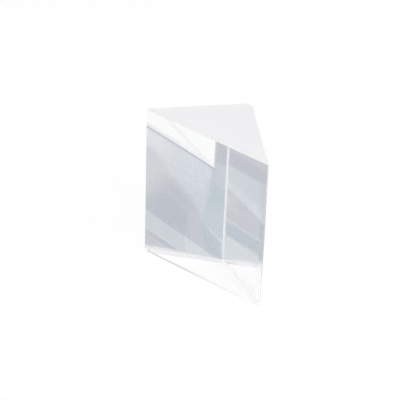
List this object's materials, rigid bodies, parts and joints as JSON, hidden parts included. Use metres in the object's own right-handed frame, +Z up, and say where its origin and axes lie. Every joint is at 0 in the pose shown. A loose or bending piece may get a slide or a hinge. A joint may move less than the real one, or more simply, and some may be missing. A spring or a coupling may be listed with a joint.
{
  "type": "glass prism",
  "caption": "Solid right-angle glass prism with polished long faces, fine-ground ends and blunted edges, for bending, splitting or reflecting a beam of light.",
  "frame": {"origin": "middle of the footprint, on the surface that the prism stands on", "axes": "+Z up along the prism's length, -Y out of the large face, +Y towards the roof edge, +X to the right of someone facing the large face"},
  "size_m": [0.0416, 0.021, 0.05],
  "materials": {
    "optical_glass": "clear crown glass, polished on the three long faces and fine-ground on the ends, flats and bevels"
  },
  "bodies": {
    "root": {"prism_block": "optical_glass"}
  },
  "joints": []
}
